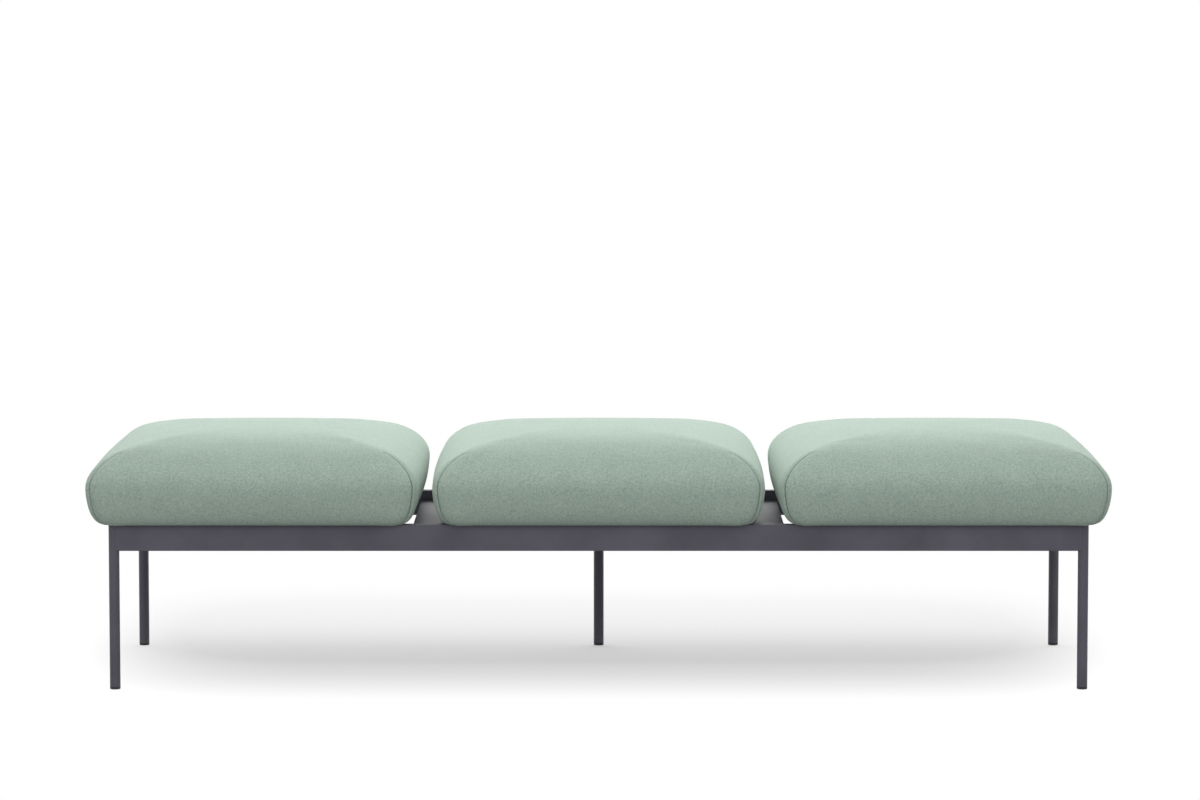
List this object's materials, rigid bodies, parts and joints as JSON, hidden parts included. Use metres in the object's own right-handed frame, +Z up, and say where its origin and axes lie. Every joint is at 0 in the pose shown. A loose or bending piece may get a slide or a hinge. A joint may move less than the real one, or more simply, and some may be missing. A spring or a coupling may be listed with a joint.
{
  "type": "upholstered bench",
  "caption": "Backless upholstered bench: separate crowned fabric seats on a slim tube frame with round legs and levelling glides.",
  "frame": {"origin": "on the floor, under the middle of the bench", "axes": "+X along the bench to the right as seen from the front, -Y towards the front, +Z up"},
  "size_m": [1.936, 0.68, 0.47],
  "materials": {
    "frame_paint": "anthracite powder coat, fine texture, satin",
    "seat_fabric": "sage green wool felt with a fine melange",
    "foam": "cut cold foam",
    "plywood": "raw birch plywood",
    "dust_cloth": "black non-woven cloth",
    "glide_nylon": "black nylon",
    "zinc_steel": "zinc plated"
  },
  "bodies": {
    "frame": {"front_rail": "frame_paint", "rear_rail": "frame_paint", "left_end_rail": "frame_paint", "right_end_rail": "frame_paint", "left_cross_tube": "frame_paint", "right_cross_tube": "frame_paint", "front_seat_brackets": "frame_paint", "rear_seat_brackets": "frame_paint", "front_left_leg": "frame_paint", "front_right_leg": "frame_paint", "rear_left_leg": "frame_paint", "rear_right_leg": "frame_paint", "rear_middle_leg": "frame_paint", "leg_inserts": "zinc_steel", "seat_screws": "zinc_steel", "left_seat_cover": "seat_fabric", "left_seat_foam": "foam", "left_seat_board": "plywood", "left_dust_cover": "dust_cloth", "middle_seat_cover": "seat_fabric", "middle_seat_foam": "foam", "middle_seat_board": "plywood", "middle_dust_cover": "dust_cloth", "right_seat_cover": "seat_fabric", "right_seat_foam": "foam", "right_seat_board": "plywood", "right_dust_cover": "dust_cloth"},
    "front_left_glide": {"front_left_glide_base": "glide_nylon", "front_left_glide_stem": "zinc_steel"},
    "front_right_glide": {"front_right_glide_base": "glide_nylon", "front_right_glide_stem": "zinc_steel"},
    "rear_left_glide": {"rear_left_glide_base": "glide_nylon", "rear_left_glide_stem": "zinc_steel"},
    "rear_right_glide": {"rear_right_glide_base": "glide_nylon", "rear_right_glide_stem": "zinc_steel"},
    "rear_middle_glide": {"rear_middle_glide_base": "glide_nylon", "rear_middle_glide_stem": "zinc_steel"}
  },
  "joints": [
    {"name": "front_left_glide_screw", "type": "slide", "parent": "frame", "child": "front_left_glide", "axis": [0, 0, -1], "range_m": [0, 0.012]},
    {"name": "front_right_glide_screw", "type": "slide", "parent": "frame", "child": "front_right_glide", "axis": [0, 0, -1], "range_m": [0, 0.012]},
    {"name": "rear_left_glide_screw", "type": "slide", "parent": "frame", "child": "rear_left_glide", "axis": [0, 0, -1], "range_m": [0, 0.012]},
    {"name": "rear_right_glide_screw", "type": "slide", "parent": "frame", "child": "rear_right_glide", "axis": [0, 0, -1], "range_m": [0, 0.012]},
    {"name": "rear_middle_glide_screw", "type": "slide", "parent": "frame", "child": "rear_middle_glide", "axis": [0, 0, -1], "range_m": [0, 0.012]}
  ]
}
